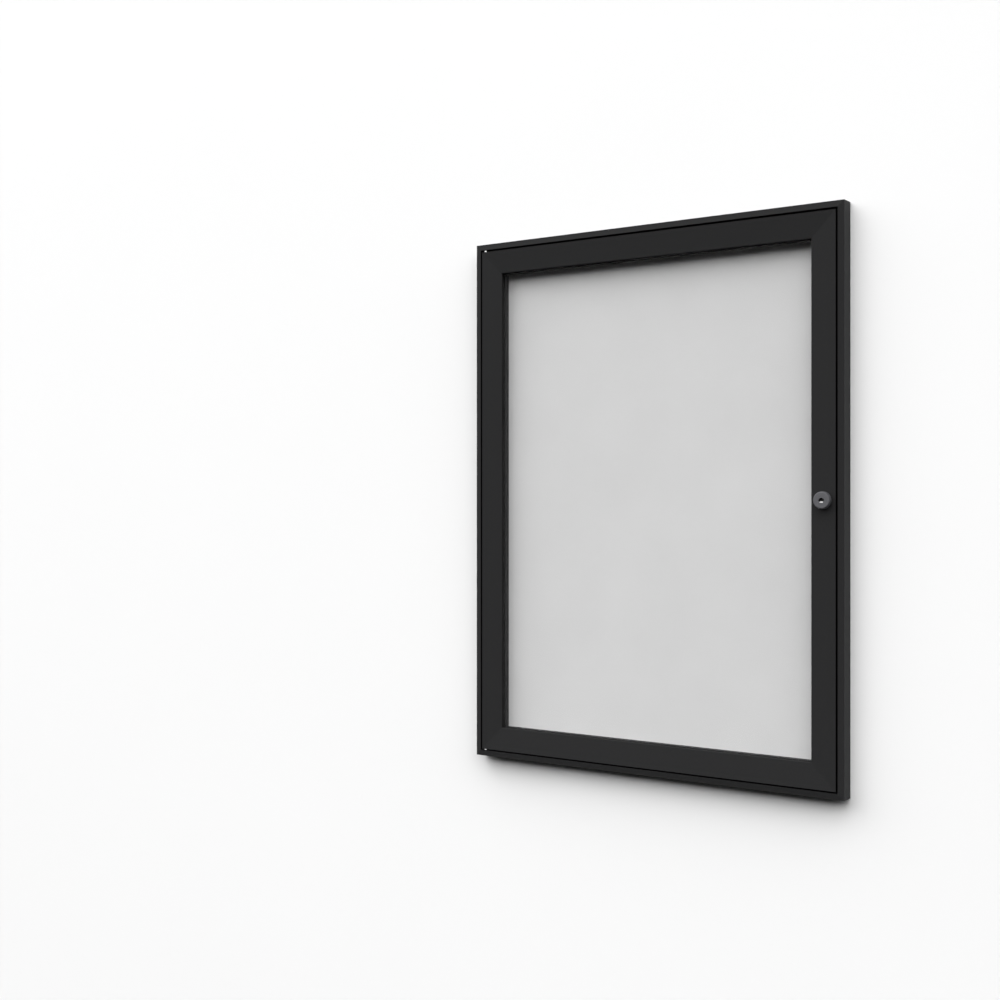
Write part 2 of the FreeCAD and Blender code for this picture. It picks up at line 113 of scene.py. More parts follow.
# %% Nodes and arithmetic
def add_node(tree, kind, inputs=(), **settings):
    """Adds a node, sets its properties, then its inputs: a value, or a socket to link from."""
    node = tree.nodes.new(kind)
    for name, value in settings.items():
        setattr(node, name, value)
    for name, value in dict(inputs).items():
        if isinstance(value, bpy.types.NodeSocket):
            tree.links.new(value, node.inputs[name])
        else:
            node.inputs[name].default_value = value
    return node


def reckon(tree, operation, *terms):
    """One step of arithmetic."""
    return add_node(tree, "ShaderNodeMath", dict(enumerate(terms)), operation=operation).outputs[0]


def product(tree, first, *others):
    """All terms multiplied. Of rules that give one or nought, it is one where every rule holds."""
    result = first
    for other in others:
        result = reckon(tree, "MULTIPLY", result, other)
    return result


# %% [markdown]
# ## Noise instead of images
#
# A finish is more than a colour: paint is a little uneven, metal is brushed, rubber is dusty. Photographs
# of such surfaces could be wrapped round the pieces, but they blur from close by and show their seams.
# Noise in the piece's own coordinates has neither fault, and it stays put when the door swings. A ramp
# turns it into soft clouds between two close colours.


# %% Noise and colours
CLOUD_START = 0.3
CLOUD_END = 0.7


def grey(value):
    """Colour with the same share of red, green and blue."""
    return (value, value, value)


def empty_material(name):
    """New material with an empty node tree."""
    material = bpy.data.materials.new(name)
    material.use_nodes = True
    material.node_tree.nodes.clear()
    return material


def noise_field(tree, scale, detail=2.0, stretch=(1, 1, 1)):
    """Noise in the piece's own coordinates, as many waves per metre as scale says."""
    place = add_node(tree, "ShaderNodeTexCoord").outputs["Object"]
    mapped = add_node(tree, "ShaderNodeMapping", {"Vector": place, "Scale": stretch})
    inputs = {"Vector": mapped.outputs["Vector"], "Scale": scale, "Detail": detail}
    return add_node(tree, "ShaderNodeTexNoise", inputs).outputs["Fac"]


def blend_colours(tree, factor, first, second):
    """A soft change from the first colour to the second as the factor rises."""
    ramp = add_node(tree, "ShaderNodeValToRGB", {"Fac": factor})
    stops = ramp.color_ramp.elements
    stops[0].position = CLOUD_START
    stops[1].position = CLOUD_END
    stops[0].color = (*first, 1)
    stops[1].color = (*second, 1)
    return ramp.outputs["Color"]


# %% [markdown]
# ## A finish
#
# Nearly every finish here is a Principled surface whose colour and bump come from noise. Roughness, metal
# and the like are the same all over a finish, so they stay plain numbers on the shader, where another
# program finds them. Where a piece has a spot of another colour, a rule says where it is.


# %% A Principled surface
CLOUD_DETAIL = 3.0
GRAIN_DETAIL = 2.0
GRAIN_HEIGHT = 0.0001
# The Mix node has sockets for numbers, vectors and colours under the same names, so they are told by number.
MIX_FACTOR = 0
MIX_FIRST_COLOUR = 6
MIX_SECOND_COLOUR = 7
MIX_COLOUR_OUT = 2


def surface(name, colours, cloud, grain, bump, shader, stretch=(1, 1, 1), patches=()):
    """Principled material: two close colours in soft clouds, and a fine grain as bump.

    Cloud and grain are in waves per metre, and shader holds the plain numbers of the Principled node. Each
    patch is a rule that gives one where it holds, and the colour that the surface has there.
    """
    material = empty_material(name)
    tree = material.node_tree
    colour = blend_colours(tree, noise_field(tree, cloud, CLOUD_DETAIL, stretch), *colours)
    for rule, other in patches:
        inputs = {MIX_FACTOR: rule(tree), MIX_FIRST_COLOUR: colour, MIX_SECOND_COLOUR: (*other, 1)}
        colour = add_node(tree, "ShaderNodeMix", inputs, data_type="RGBA").outputs[MIX_COLOUR_OUT]
    height = noise_field(tree, grain, GRAIN_DETAIL, stretch)
    relief = add_node(tree, "ShaderNodeBump", {"Height": height, "Strength": bump, "Distance": GRAIN_HEIGHT})
    inputs = {"Base Color": colour, "Normal": relief.outputs["Normal"], **shader}
    principled = add_node(tree, "ShaderNodeBsdfPrincipled", inputs)
    add_node(tree, "ShaderNodeOutputMaterial", {"Surface": principled.outputs["BSDF"]})
    print("material", name)
    return material


# %% [markdown]
# ## Rules by place
#
# A spot of painted shade or highlight could be cut out as faces of its own, with a second material. A rule
# leaves the mesh alone: it reads the piece's own coordinates, so it marks a spot on the piece and moves with
# it. It is built of comparisons that give one or nought, and their product is one where all of them hold.


# %% Rules by place
def position(tree):
    """The three coordinates of a point in its own piece."""
    place = add_node(tree, "ShaderNodeTexCoord").outputs["Object"]
    return add_node(tree, "ShaderNodeSeparateXYZ", {0: place}).outputs


def within(tree, value, low, high):
    """One where the value lies between low and high."""
    return reckon(tree, "COMPARE", value, (low + high) / 2, (high - low) / 2)


# %% [markdown]
# ## Black powder coat
#
# Casing and door are aluminium extrusions with a satin black powder coat. The powder melts into a skin that
# is never quite flat: under the light it shows a fine orange peel about a millimetre across. A base colour
# of about two percent with a little sheen does it, and the peel is a very low bump, so the faces still look
# flat from a distance.
#
# Powder is drawn to the nearest metal as it is sprayed, so little of it gets into a narrow gap. The walls
# The walls of the gap between door and rim, with their rounded edges, are painted nearly black: painted
# shade, which makes the gap a crisp black line.
# The walls at the two sides of the panel are painted a shade paler than the faces: a painted reflection of
# the pale sheet, which they would catch in the coat's sheen, set low here. The corner under the top rail,
# where the sheet is in shadow, stays as dark as the rest.

# %% Where the gap and the side walls are
RIM_WIDTH = 0.0075
EDGE_ROUNDING = 0.0002
# The shaded corner under the top rail gets no painted reflection.
DARK_CORNER_HEIGHT = 0.0096

stile_low, stile_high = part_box("door_lock_stile")
DOOR_INNER_X = stile_low.x
DOOR_EDGE_X = stile_high.x
DOOR_BOTTOM_Z = stile_low.z
DOOR_TOP_Z = stile_high.z
RIM_INNER_X = cad_box[1].x - RIM_WIDTH
RIM_INNER_Z = cad_box[1].z - RIM_WIDTH
WINDOW_BACK_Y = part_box("glazing_sheet")[1].y
SIDE_WALL_LOW_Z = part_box("casing_bottom_rail")[1].z + EDGE_ROUNDING
SIDE_WALL_HIGH_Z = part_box("casing_top_rail")[0].z - DARK_CORNER_HEIGHT
side_gap = RIM_INNER_X - DOOR_EDGE_X
top_gap = RIM_INNER_Z - DOOR_TOP_Z
print("gap beside the door", round(side_gap, 5), "and above it", round(top_gap, 5))


# %% Powder coat
def gap_painted_shade(tree):
    """One between the door's outline and the rim's, and on the rounded edges at both sides of the gap, where
    shade is painted.
    """
    x, _, z = position(tree)
    beside = reckon(tree, "ABSOLUTE", x)
    within_rim = product(
        tree,
        reckon(tree, "LESS_THAN", beside, RIM_INNER_X + EDGE_ROUNDING),
        within(tree, z, -RIM_INNER_Z - EDGE_ROUNDING, RIM_INNER_Z + EDGE_ROUNDING),
    )
    within_door = product(
        tree,
        reckon(tree, "LESS_THAN", beside, DOOR_EDGE_X - EDGE_ROUNDING),
        within(tree, z, DOOR_BOTTOM_Z + EDGE_ROUNDING, DOOR_TOP_Z - EDGE_ROUNDING),
    )
    return reckon(tree, "SUBTRACT", within_rim, within_door)


def side_walls_painted_reflection(tree):
    """One on the two side walls between window and panel, where the sheet's reflection is painted."""
    x, y, z = position(tree)
    across = reckon(tree, "LESS_THAN", reckon(tree, "ABSOLUTE", x), DOOR_INNER_X + EDGE_ROUNDING)
    up = within(tree, z, SIDE_WALL_LOW_Z, SIDE_WALL_HIGH_Z)
    behind = reckon(tree, "GREATER_THAN", y, WINDOW_BACK_Y)
    return product(tree, across, up, behind)


powder_coat = surface(
    "powder_coat_black",
    colours=((0.0179, 0.0179, 0.0184), (0.0206, 0.0206, 0.0211)),
    cloud=900,
    grain=900,
    bump=0.3,
    # Both patches are painted light: a paler colour on the side walls for the sheet's reflection, and near
    # black in the gap for its shade.
    patches=((side_walls_painted_reflection, grey(0.032)), (gap_painted_shade, grey(0.002))),
    shader={"Roughness": 0.5, "Specular IOR Level": 0.06},
)

# %% [markdown]
# ## The display sheet and the board behind it
#
# The sheet is steel, so that magnets hold on it, with a smooth light grey coat. One flat colour would look
# lifeless on a sheet this large, so the coat gets broad faint clouds and a trace of grain. The board behind
# it is hardboard and only shows from the back. Its fibres are pressed flat, which short uneven specks in
# two browns show well enough.

# %% Panel finishes
sheet_coat = surface(
    "sheet_coat_light_grey",
    colours=(grey(0.683), grey(0.695)),
    cloud=9,
    grain=700,
    bump=0.05,
    shader={"Roughness": 0.7, "Specular IOR Level": 0.02},
)
hardboard = surface(
    "hardboard",
    colours=((0.20, 0.125, 0.070), (0.30, 0.19, 0.11)),
    cloud=350,
    grain=1400,
    bump=0.6,
    stretch=(1, 1, 0.6),
    shader={"Roughness": 0.75, "Specular IOR Level": 0.3},
)

# %% [markdown]
# ## The lock
#
# The lock has a satin plated zinc body, darker than bare steel. Its round side is painted darker than its
# flat face, with a soft change over the rounded edge: painted shade. The slope below the keyhole faces the
# light above and is given a bright colour: a painted highlight. The walls of the hole have a paler tone too,
# and look dark only because little light gets in. The head is just twenty millimetres across, so each of
# these is one rule by place and needs no painting by hand.

# %% Places on the lock
KEYHOLE_DROP = 0.0009  # from the lock's axis down to the flat side of the hole
KEYHOLE_REACH = 0.0038  # from the middle of the flat side to just past the round wall
KEYHOLE_LIP = 0.0002  # how deep the hole's edge keeps the tone of the face
SLOPE_REACH = 0.0021  # half the width of the painted highlight on the slope
SLOPE_TOP = 0.0003  # below the flat side
SLOPE_BOTTOM = 0.0018
# The painted shade of the round side fades in over this depth.
FACE_ROUNDING = 0.0007  # depth over which the face's tone changes to the side's
HAIRSBREADTH = 0.00005  # keeps a flat face off the border of a rule

lock_low, lock_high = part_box("lock_housing")
LOCK_X = (lock_low.x + lock_high.x) / 2
LOCK_FACE_Y = lock_low.y
KEYHOLE_FLOOR_Z = (lock_low.z + lock_high.z) / 2 - KEYHOLE_DROP
print("lock at", round(LOCK_X, 5), "face at", round(LOCK_FACE_Y, 5))


# %% Lock plate
def slope_painted_highlight(tree):
    """One on the slope below the keyhole, where a highlight is painted."""
    x, y, z = position(tree)
    across = within(tree, x, LOCK_X - SLOPE_REACH, LOCK_X + SLOPE_REACH)
    down = within(tree, z, KEYHOLE_FLOOR_Z - SLOPE_BOTTOM, KEYHOLE_FLOOR_Z - SLOPE_TOP)
    behind = reckon(tree, "GREATER_THAN", y, LOCK_FACE_Y + HAIRSBREADTH)
    return product(tree, across, down, behind)


def in_the_keyhole(tree):
    """One on the walls and the end of the half-moon hole."""
    x, y, z = position(tree)
    across = within(tree, x, LOCK_X - KEYHOLE_REACH, LOCK_X + KEYHOLE_REACH)
    up = within(tree, z, KEYHOLE_FLOOR_Z - HAIRSBREADTH, KEYHOLE_FLOOR_Z + KEYHOLE_REACH)
    behind = reckon(tree, "GREATER_THAN", y, LOCK_FACE_Y + KEYHOLE_LIP)
    return product(tree, across, up, behind)


def lock_side_painted_shade(tree):
    """Nought on the lock's flat face, rising to one over its rounded edge and one on its round side: where
    shade is painted.
    """
    depth = reckon(tree, "SUBTRACT", position(tree)["Y"], LOCK_FACE_Y + HAIRSBREADTH)
    return reckon(tree, "DIVIDE", depth, FACE_ROUNDING)


lock_metal = surface(
    "lock_satin_plate",
    colours=((0.093, 0.093, 0.100), (0.107, 0.107, 0.114)),
    cloud=500,
    grain=2600,
    bump=0.15,
    # The round side gets painted shade, the hole a paler tone, and the slope below it a painted highlight.
    patches=((lock_side_painted_shade, (0.055, 0.055, 0.06)), (in_the_keyhole, grey(0.2)), (slope_painted_highlight, grey(0.5))),
    shader={"Roughness": 0.5, "Metallic": 0.1, "Specular IOR Level": 0.15},
)

# %% [markdown]
# ## Bare metals
#
# The screws are bright steel. The pins are ground, and shine. Cleats are sawn from plain aluminium bar, so
# their grain runs one way. A brushed look could come from an anisotropic shader, but on pieces this small
# it is enough to draw the noise out along one axis, with a stretch below one.

# %% Bare metals
GRAIN_ALONG_X = (0.15, 1, 1)
GRAIN_ALONG_Z = (1, 1, 0.2)

bright_steel = surface(
    "bright_steel",
    colours=((0.66, 0.66, 0.67), (0.74, 0.74, 0.75)),
    cloud=700,
    grain=3000,
    bump=0.15,
    stretch=GRAIN_ALONG_Z,
    shader={"Roughness": 0.25, "Metallic": 1.0},
)
ground_steel = surface(
    "ground_steel",
    colours=(grey(0.93), grey(0.97)),
    cloud=700,
    grain=3000,
    bump=0.03,
    stretch=GRAIN_ALONG_Z,
    shader={"Roughness": 0.12, "Metallic": 1.0},
)
mill_aluminium = surface(
    "mill_aluminium",
    colours=((0.62, 0.62, 0.63), (0.72, 0.72, 0.73)),
    cloud=300,
    grain=2000,
    bump=0.3,
    stretch=GRAIN_ALONG_X,
    shader={"Roughness": 0.4, "Metallic": 1.0},
)

# %% [markdown]
# ## Rubber and plastic
#
# Seal and gasket are black rubber, nearly without a sheen. The bushes that the pins turn in are a hard dark
# plastic, which is smoother. Both are dark and close to the powder coat in colour, so it is the roughness
# that tells them apart.

# %% Rubber and plastic
black_rubber = surface(
    "black_rubber",
    colours=(grey(0.012), grey(0.016)),
    cloud=400,
    grain=1800,
    bump=0.3,
    shader={"Roughness": 0.8, "Specular IOR Level": 0.05},
)
bearing_plastic = surface(
    "bearing_plastic",
    colours=((0.035, 0.035, 0.036), (0.045, 0.045, 0.046)),
    cloud=400,
    grain=1500,
    bump=0.1,
    shader={"Roughness": 0.45},
)

# %% [markdown]
# ## The clear window
#
# The window is a clear acrylic sheet. A refracting shader would keep the lamps' light from the panel behind
# it, because light rays don't bend on their way to a lamp. A see-through surface with a mirror on top looks
# the same on a flat sheet and lets the light in. The mirror is faint where the sheet is seen square on, and
# grows as the view slants. The trace of grey in the see-through colour is the acrylic's own.


# %% Window
SMEAR_WAVES = 14
SMEAR_DETAIL = 4.0
MIRROR_ROUGHNESS = 0.02
MIRROR_SQUARE_ON = 0.004
MIRROR_GROWTH = 0.3
SLANT_POWER = 5.0
EVEN_BLEND = 0.5


def mix_shaders(tree, share, first, second):
    """The first shader where the share is nought, and the second where it is one."""
    inputs = {0: share, 1: first.outputs[0], 2: second.outputs[0]}
    return add_node(tree, "ShaderNodeMixShader", inputs).outputs[0]


def window_material():
    """A clear sheet with a faint mirror on it."""
    material = empty_material("clear_window")
    tree = material.node_tree
    smear = blend_colours(tree, noise_field(tree, SMEAR_WAVES, SMEAR_DETAIL), grey(0.977), grey(0.987))
    clear = add_node(tree, "ShaderNodeBsdfTransparent", {"Color": smear})
    mirror = add_node(tree, "ShaderNodeBsdfAnisotropic", {"Roughness": MIRROR_ROUGHNESS})
    # A mirror reckoned from how strongly acrylic bends light would take the sheet's far side for the inside
    # of a block, and mirror all that slants there. Facing treats both sides alike: nought seen square on and
    # one seen edge on.
    slant = add_node(tree, "ShaderNodeLayerWeight", {"Blend": EVEN_BLEND}).outputs["Facing"]
    steep = reckon(tree, "POWER", slant, SLANT_POWER)
    share = reckon(tree, "MULTIPLY_ADD", steep, MIRROR_GROWTH, MIRROR_SQUARE_ON)
    add_node(tree, "ShaderNodeOutputMaterial", {"Surface": mix_shaders(tree, share, clear, mirror)})
    print("material", material.name)
    return material


clear_window = window_material()

# %% [markdown]
# ## Dressing the solids
#
# Each solid whose shape is right keeps it and only gets its finish. The nodes could be dressed one by one,
# but the record names a material slot for every node, so one table from slot to finish covers them all.

# %% Give every node its finish
FINISHES = {
    "black_coat": powder_coat,
    "light_grey_coat": sheet_coat,
    "board": hardboard,
    "bare_aluminium": mill_aluminium,
    "steel": bright_steel,
    "lock_metal": lock_metal,
    "black_rubber": black_rubber,
    "bearing_plastic": bearing_plastic,
    "clear_glazing": clear_window,
}
slot_of = {entry["node"]: entry["material_slot"] for entry in frame["record"]["subparts"]}
for name, node in frame["nodes"].items():
    if not node.material_slots:
        node.data.materials.append(None)
    for slot in node.material_slots:
        slot.material = FINISHES[slot_of[name]]
print("dressed", len(slot_of), "nodes")

# %% [markdown]
# ## Starting and ending a geometry tree
#
# What repeats or follows a path is made by geometry nodes. Each tree begins with named inputs for its
# sizes, so that they can be changed without opening it. Each ends the same way: copies are made real, and
# the result gets its material, so that a plain mesh comes out.


# %% Start and end of a tree
def new_tree(name, sizes):
    """Geometry node tree with a geometry in and out, and the named sizes as inputs."""
    tree = bpy.data.node_groups.new(name, "GeometryNodeTree")
    tree.interface.new_socket("Geometry", in_out="INPUT", socket_type="NodeSocketGeometry")
    tree.interface.new_socket("Geometry", in_out="OUTPUT", socket_type="NodeSocketGeometry")
    for label, value in sizes.items():
        kind = "NodeSocketMaterial" if isinstance(value, bpy.types.Material) else "NodeSocketFloat"
        tree.interface.new_socket(label, in_out="INPUT", socket_type=kind).default_value = value
    return tree, tree.nodes.new("NodeGroupInput").outputs


def finish_tree(tree, geometry, material):
    """Makes the copies real, gives them their material and leads them out of the tree."""
    real = add_node(tree, "GeometryNodeRealizeInstances", {"Geometry": geometry})
    painted = add_node(tree, "GeometryNodeSetMaterial", {"Geometry": real.outputs[0], "Material": material})
    add_node(tree, "NodeGroupOutput", {"Geometry": painted.outputs[0]})


# %% [markdown]
# ## Screws
#
# The cleats and the panel are held by small countersunk screws with a hexagon socket. They are all the same
# but for their length. Copies made by hand would have to be made again for each length, so the screw is
# drawn once as a tree: a cone and a cylinder joined, a hexagon cut from the head. The tree puts a copy on
# every point it is given, each turned by chance, as a hand leaves them.


# %% A tree that makes screws
SCREW_SIZES = {
    "Head Diameter": 0.0055,
    "Shank Diameter": 0.003,
    "Length": 0.012,
    "Socket": 0.002,
    "Socket Depth": 0.001,
    "Material": bright_steel,
}
ROUND_SIDES = 48
HEXAGON_SIDES = 6
HEXAGON_CORNER = 1 / math.sqrt(3)  # how far a corner stands out, as a share of the size across the flats
CHANCE_SEED = 7


def one_screw(tree, given):
    """A screw that points up, with the flat of its head at nought."""
    head = reckon(tree, "MULTIPLY", given["Head Diameter"], 0.5)
    shank = reckon(tree, "MULTIPLY", given["Shank Diameter"], 0.5)
    half_length = reckon(tree, "MULTIPLY", given["Length"], 0.5)
    cone_height = reckon(tree, "SUBTRACT", head, shank)
    cone_sizes = {"Vertices": ROUND_SIDES, "Radius Bottom": head, "Radius Top": shank, "Depth": cone_height}
    cone = add_node(tree, "GeometryNodeMeshCone", cone_sizes, fill_type="NGON")
    rod_sizes = {"Vertices": ROUND_SIDES, "Radius": shank, "Depth": given["Length"]}
    rod = add_node(tree, "GeometryNodeMeshCylinder", rod_sizes, fill_type="NGON")
    lift = add_node(tree, "ShaderNodeCombineXYZ", {"Z": half_length})
    lifted = {"Geometry": rod.outputs["Mesh"], "Translation": lift.outputs[0]}
    lifted_rod = add_node(tree, "GeometryNodeTransform", lifted)
    socket_sizes = {
        "Vertices": HEXAGON_SIDES,
        "Radius": reckon(tree, "MULTIPLY", given["Socket"], HEXAGON_CORNER),
        "Depth": reckon(tree, "MULTIPLY", given["Socket Depth"], 2.0),
    }
    socket = add_node(tree, "GeometryNodeMeshCylinder", socket_sizes, fill_type="NGON")
    whole = add_node(tree, "GeometryNodeMeshBoolean", operation="UNION", solver="EXACT")
    tree.links.new(lifted_rod.outputs[0], whole.inputs["Mesh 2"])
    tree.links.new(cone.outputs["Mesh"], whole.inputs["Mesh 2"])
    hollowed = add_node(tree, "GeometryNodeMeshBoolean", operation="DIFFERENCE", solver="EXACT")
    tree.links.new(whole.outputs[0], hollowed.inputs["Mesh 1"])
    tree.links.new(socket.outputs["Mesh"], hollowed.inputs["Mesh 2"])
    return hollowed.outputs[0]


def screw_tree():
    """Puts a screw on every point, each turned by chance about its own length."""
    tree, given = new_tree("countersunk_screws", SCREW_SIZES)
    chance = add_node(tree, "FunctionNodeRandomValue", data_type="FLOAT")
    chance.inputs["Max"].default_value = math.tau
    chance.inputs["Seed"].default_value = CHANCE_SEED
    # A quarter turn about X lays the screw along Y, and the second turn spins it about itself.
    turn = add_node(tree, "ShaderNodeCombineXYZ", {"X": QUARTER_TURN, "Y": chance.outputs["Value"]})
    inputs = {"Points": given["Geometry"], "Instance": one_screw(tree, given), "Rotation": turn.outputs[0]}
    copies = add_node(tree, "GeometryNodeInstanceOnPoints", inputs)
    finish_tree(tree, copies.outputs[0], given["Material"])
    return tree


SCREWS = screw_tree()
print("tree", SCREWS.name, "with", len(SCREWS.nodes), "nodes")

# %% [markdown]
# ## From a tree to a plain mesh
#
# A tree runs as a modifier on a mesh of loose points, one for each copy. Its result is kept as a plain
# mesh, the modifier goes, and the piece is seated on its body in place of the solid that it is drawn from.


# %% Run a tree once and keep the plain mesh
SHARP_ANGLE = math.radians(35)


def make_from_points(name, points, tree, sizes, body, replaced):
    """Runs a tree on a mesh of loose points, keeps the result as a plain mesh and seats it on its body."""
    seed_mesh = bpy.data.meshes.new(name + "_points")
    seed_mesh.from_pydata(points, [], [])
    piece = bpy.data.objects.new(name, seed_mesh)
    bpy.context.scene.collection.objects.link(piece)
    modifier = piece.modifiers.new("make", "NODES")
    modifier.node_group = tree
    sockets = {item.name: item.identifier for item in tree.interface.items_tree if item.in_out == "INPUT"}
    for label, value in sizes.items():
        modifier[sockets[label]] = value
    evaluated = piece.evaluated_get(bpy.context.evaluated_depsgraph_get())
    made = bpy.data.meshes.new_from_object(evaluated)
    piece.modifiers.remove(modifier)
    piece.data = made
    made.shade_smooth()
    made.set_sharp_from_angle(angle=SHARP_ANGLE)
    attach(piece, body)
    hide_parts(*replaced)
    print(name, len(made.polygons), "faces, from", len(points), "points")


# %% [markdown]
# ## Finding the screws' places
#
# All the screws of one kind are one node of separate solids. Walking from point to point along the edges,
# as far as they go, finds the solids one by one. The middle of each, at its head, is where the new screw
# goes.

# %% Places of the separate solids
MERGE_DISTANCE = 1e-6


def centres_of(node_name):
    """Middle of each separate solid of a node, in X and Z, with its highest Y."""
    shell = bmesh.new()
    shell.from_mesh(frame["nodes"][node_name].data)
    bmesh.ops.remove_doubles(shell, verts=shell.verts, dist=MERGE_DISTANCE)
    seen = set()
    middles = []
    for start in shell.verts:
        if start in seen:
            continue
        group = []
        waiting = [start]
        seen.add(start)
        while waiting:
            vertex = waiting.pop()
            group.append(vertex.co.copy())
            for edge in vertex.link_edges:
                other = edge.other_vert(vertex)
                if other not in seen:
                    seen.add(other)
                    waiting.append(other)
        low = Vector([min(v[axis] for v in group) for axis in range(3)])
        high = Vector([max(v[axis] for v in group) for axis in range(3)])
        middles.append(((low.x + high.x) / 2, high.y, (low.z + high.z) / 2))
    shell.free()
    return sorted(middles)


# %% Screws in their holes
BODY_OF_SCREWS = {"casing_cleat_screws": "casing", "panel_screws": "casing", "door_cleat_screws": "door"}
for node_name, body in BODY_OF_SCREWS.items():
    low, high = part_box(node_name)
    sizes = {"Length": high.y - low.y}
    make_from_points(node_name + "_made", centres_of(node_name), SCREWS, sizes, body, [node_name])

# %% [markdown]
# ## The door seal
#
# A soft strip runs round the ledge, where the closed door rests. It is one length of rubber bent round the
# corners. Four straight strips would meet in hard corners, so a sweep along a rectangle with rounded
# corners makes it. The path and the section both come from named sizes. The sweep is drawn lying flat,
# stood up by a quarter turn and set on the ledge.


# %% A tree that sweeps the seal
STRIP_WIDTH = 0.004
SEAL_SIZES = {
    "Width": 0.436,
    "Height": 0.606,
    "Corner Radius": 0.006,
    "Strip Width": STRIP_WIDTH,
    "Strip Height": 0.002,
    "Strip Rounding": 0.0009,
    "Material": black_rubber,
}
CORNER_STEPS = 12
ROUNDING_STEPS = 8


def rounded_rectangle(tree, width, height, radius, steps):
    """Closed curve round a rectangle, with its corners rounded in a few steps each."""
    sides = add_node(tree, "GeometryNodeCurvePrimitiveQuadrilateral", {"Width": width, "Height": height})
    inputs = {"Curve": sides.outputs[0], "Count": steps, "Radius": radius}
    return add_node(tree, "GeometryNodeFilletCurve", inputs, mode="POLY").outputs[0]


def seal_tree():
    """Sweeps the strip's section round the ledge, about every point it is given."""
    tree, given = new_tree("door_seal", SEAL_SIZES)
    path = rounded_rectangle(tree, given["Width"], given["Height"], given["Corner Radius"], CORNER_STEPS)
    section = rounded_rectangle(
        tree, given["Strip Width"], given["Strip Height"], given["Strip Rounding"], ROUNDING_STEPS
    )
    strip = add_node(tree, "GeometryNodeCurveToMesh", {"Curve": path, "Profile Curve": section})
    quarter_turn = {"Geometry": strip.outputs[0], "Rotation": (QUARTER_TURN, 0, 0)}
    stood_up = add_node(tree, "GeometryNodeTransform", quarter_turn)
    inputs = {"Points": given["Geometry"], "Instance": stood_up.outputs[0]}
    copies = add_node(tree, "GeometryNodeInstanceOnPoints", inputs)
    finish_tree(tree, copies.outputs[0], given["Material"])
    return tree


# %% Seal on the ledge
low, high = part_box("door_seal")
seal_sizes = {
    "Width": high.x - low.x - STRIP_WIDTH,
    "Height": high.z - low.z - STRIP_WIDTH,
    "Strip Width": STRIP_WIDTH,
    "Strip Height": high.y - low.y,
}
seal_place = [tuple((low + high) / 2)]
sweep = seal_tree()
make_from_points("door_seal_made", seal_place, sweep, seal_sizes, "casing", ["door_seal"])

# %% [markdown]
# ## Pivot pins
#
# The two pins are the bright specks in the gap at the left. A real pin is turned with a small bevel at each
# end and a collar in the gap, which the light catches. Blender's plain cylinder has neither. A lathe
# profile, spun round the hinge axis, gives that shape with one point for each corner.


# %% A lathe
LATHE_STEPS = 48


def turned_bar(name, axis_place, profile, material):
    """Spins a profile round an upright axis.

    The profile is the reach and height of its corners, from the tip at the bottom to the tip at the top.
    """
    shell = bmesh.new()
    (_, lowest), *corners, (_, highest) = profile
    bottom = shell.verts.new((*axis_place, lowest))
    top = shell.verts.new((*axis_place, highest))
    rings = []
    for reach, height in corners:
        ring = []
        for step in range(LATHE_STEPS):
            angle = math.tau * step / LATHE_STEPS
            x = axis_place[0] + reach * math.cos(angle)
            y = axis_place[1] + reach * math.sin(angle)
            ring.append(shell.verts.new((x, y, height)))
        rings.append(ring)
    for step in range(LATHE_STEPS):
        after = (step + 1) % LATHE_STEPS
        shell.faces.new((bottom, rings[0][after], rings[0][step]))
        shell.faces.new((top, rings[-1][step], rings[-1][after]))
        for lower, upper in zip(rings, rings[1:]):
            shell.faces.new((lower[step], lower[after], upper[after], upper[step]))
    mesh = bpy.data.meshes.new(name)
    shell.to_mesh(mesh)
    shell.free()
    mesh.materials.append(material)
    mesh.shade_smooth()
    mesh.set_sharp_from_angle(angle=SHARP_ANGLE)
    piece = bpy.data.objects.new(name, mesh)
    bpy.context.scene.collection.objects.link(piece)
    return piece


# %% Turn the pins
PIN_RADIUS = 0.0015
PIN_BEVEL = 0.0003
COLLAR_PLAY = 0.0003
COLLAR_BEVEL = 0.0001
collar_spans = {
    "top": (DOOR_TOP_Z + COLLAR_PLAY, RIM_INNER_Z - COLLAR_PLAY),
    "bottom": (-RIM_INNER_Z + COLLAR_PLAY, DOOR_BOTTOM_Z - COLLAR_PLAY),
}
for end, (collar_low, collar_high) in collar_spans.items():
    low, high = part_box("hinge_pin_" + end)
    axis_place = ((low.x + high.x) / 2, (low.y + high.y) / 2)
    collar_radius = (high.x - low.x) / 2
    profile = [
        (0, low.z),
        (PIN_RADIUS - PIN_BEVEL, low.z),
        (PIN_RADIUS, low.z + PIN_BEVEL),
        (PIN_RADIUS, collar_low),
        (collar_radius - COLLAR_BEVEL, collar_low),
        (collar_radius, collar_low + COLLAR_BEVEL),
        (collar_radius, collar_high - COLLAR_BEVEL),
        (collar_radius - COLLAR_BEVEL, collar_high),
        (PIN_RADIUS, collar_high),
        (PIN_RADIUS, high.z - PIN_BEVEL),
        (PIN_RADIUS - PIN_BEVEL, high.z),
        (0, high.z),
    ]
    pin = turned_bar("hinge_pin_%s_made" % end, axis_place, profile, ground_steel)
    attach(pin, "casing")
    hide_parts("hinge_pin_" + end)
    print("hinge_pin_" + end, "turned, its collar", round(2 * collar_radius, 5), "across")

# %% [markdown]
# ## The wall and the floor
#
# The board hangs on a plain white wall. A flat sheet just behind the casing takes its shadow. A whole sheet
# would hide the back of the board and keep it dark, and the back can be looked at too. So, seen from
# behind, the sheet is clear, and it has an opening a little smaller than the board, through which the light
# from behind falls on it.
#
# The floor lies far below and out of the picture. It looks pale, but for the rays that carry light it is
# nearly black, so that no light comes up from it.


# %% Finishes of wall and floor
STAGE_WAVES = 3


